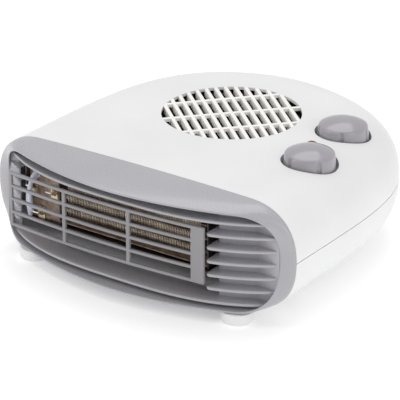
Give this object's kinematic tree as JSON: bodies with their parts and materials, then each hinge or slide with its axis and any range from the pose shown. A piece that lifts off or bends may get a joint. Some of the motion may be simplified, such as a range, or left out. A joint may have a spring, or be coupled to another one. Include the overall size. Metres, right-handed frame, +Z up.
{
  "type": "flat fan heater",
  "caption": "Low D-shaped electric fan heater with a bulging louvred front over wire coils, a round top air intake and two control knobs.",
  "frame": {"origin": "on the surface it stands on, at the centre of its bounding box", "axes": "+Z up, -Y is the louvred front that the warm air leaves by, +X is the side with the knobs"},
  "size_m": [0.245, 0.2538, 0.0935],
  "materials": {
    "white_abs": "satin white moulded ABS",
    "grey_abs": "satin lilac-grey moulded ABS",
    "guard_grey": "heat-resistant dark grey moulding",
    "knob_grey": "smooth translucent-looking grey",
    "amber_lens": "translucent amber",
    "lamp_glass": "clear neon bulb",
    "black_plastic": "black heat-resistant plastic",
    "bakelite": "dark brown phenolic",
    "zinc_steel": "zinc-plated steel sheet and wire",
    "lamination": "stacked electrical steel",
    "enamelled_copper": "enamelled copper winding",
    "brass": "stamped brass",
    "sintered_bronze": "oil-filled sintered bronze",
    "mica": "brown mica sheet",
    "heating_wire": "bright resistance wire",
    "ceramic": "cream steatite",
    "soft_foot": "white soft plastic"
  },
  "bodies": {
    "casing": {"air_guide": "zinc_steel", "base_housing": "white_abs", "bearing_lower": "sintered_bronze", "bearing_upper": "sintered_bronze", "cord_bush": "black_plastic", "element_duct": "zinc_steel", "fan_chamber": "black_plastic", "foot_front_left": "soft_foot", "foot_front_right": "soft_foot", "foot_rear_left": "soft_foot", "foot_rear_right": "soft_foot", "front_grille": "grey_abs", "guard_grid": "guard_grey", "heating_coil_1": "heating_wire", "heating_coil_2": "heating_wire", "heating_coil_3": "heating_wire", "indicator_lens": "amber_lens", "mica_bottom": "mica", "mica_end_left": "mica", "mica_end_right": "mica", "mica_strip_1": "mica", "mica_strip_2": "mica", "mica_strip_3": "mica", "mica_top": "mica", "motor_bracket_lower": "zinc_steel", "motor_bracket_upper": "zinc_steel", "motor_coil": "enamelled_copper", "motor_stack": "lamination", "neon_lamp": "lamp_glass", "rotary_switch": "bakelite", "screw_front_left": "zinc_steel", "screw_front_right": "zinc_steel", "screw_rear_left": "zinc_steel", "screw_rear_right": "zinc_steel", "terminal_1": "brass", "terminal_2": "brass", "terminal_3": "brass", "terminal_block": "ceramic", "terminal_board": "mica", "thermal_cutout": "ceramic", "thermal_fuse": "ceramic", "thermostat_bimetal": "brass", "thermostat_body": "ceramic", "top_housing": "white_abs"},
    "fan": {"impeller": "black_plastic", "motor_rotor": "lamination", "motor_shaft": "zinc_steel"},
    "function_control": {"function_knob": "knob_grey", "function_spindle": "zinc_steel"},
    "thermostat_control": {"thermostat_knob": "knob_grey", "thermostat_spindle": "zinc_steel"}
  },
  "joints": [
    {"name": "fan_spin", "type": "hinge", "parent": "casing", "child": "fan", "pos_m": [-0.0053, 0.0225, 0.05], "axis": [0, 0, 1], "continuous": true},
    {"name": "function_turn", "type": "hinge", "parent": "casing", "child": "function_control", "pos_m": [0.0839, -0.0155, 0.0745], "axis": [0, 0, -1], "range_deg": [0, 270]},
    {"name": "thermostat_turn", "type": "hinge", "parent": "casing", "child": "thermostat_control", "pos_m": [0.0754, 0.0394, 0.0745], "axis": [0, 0, -1], "range_deg": [0, 300]}
  ]
}
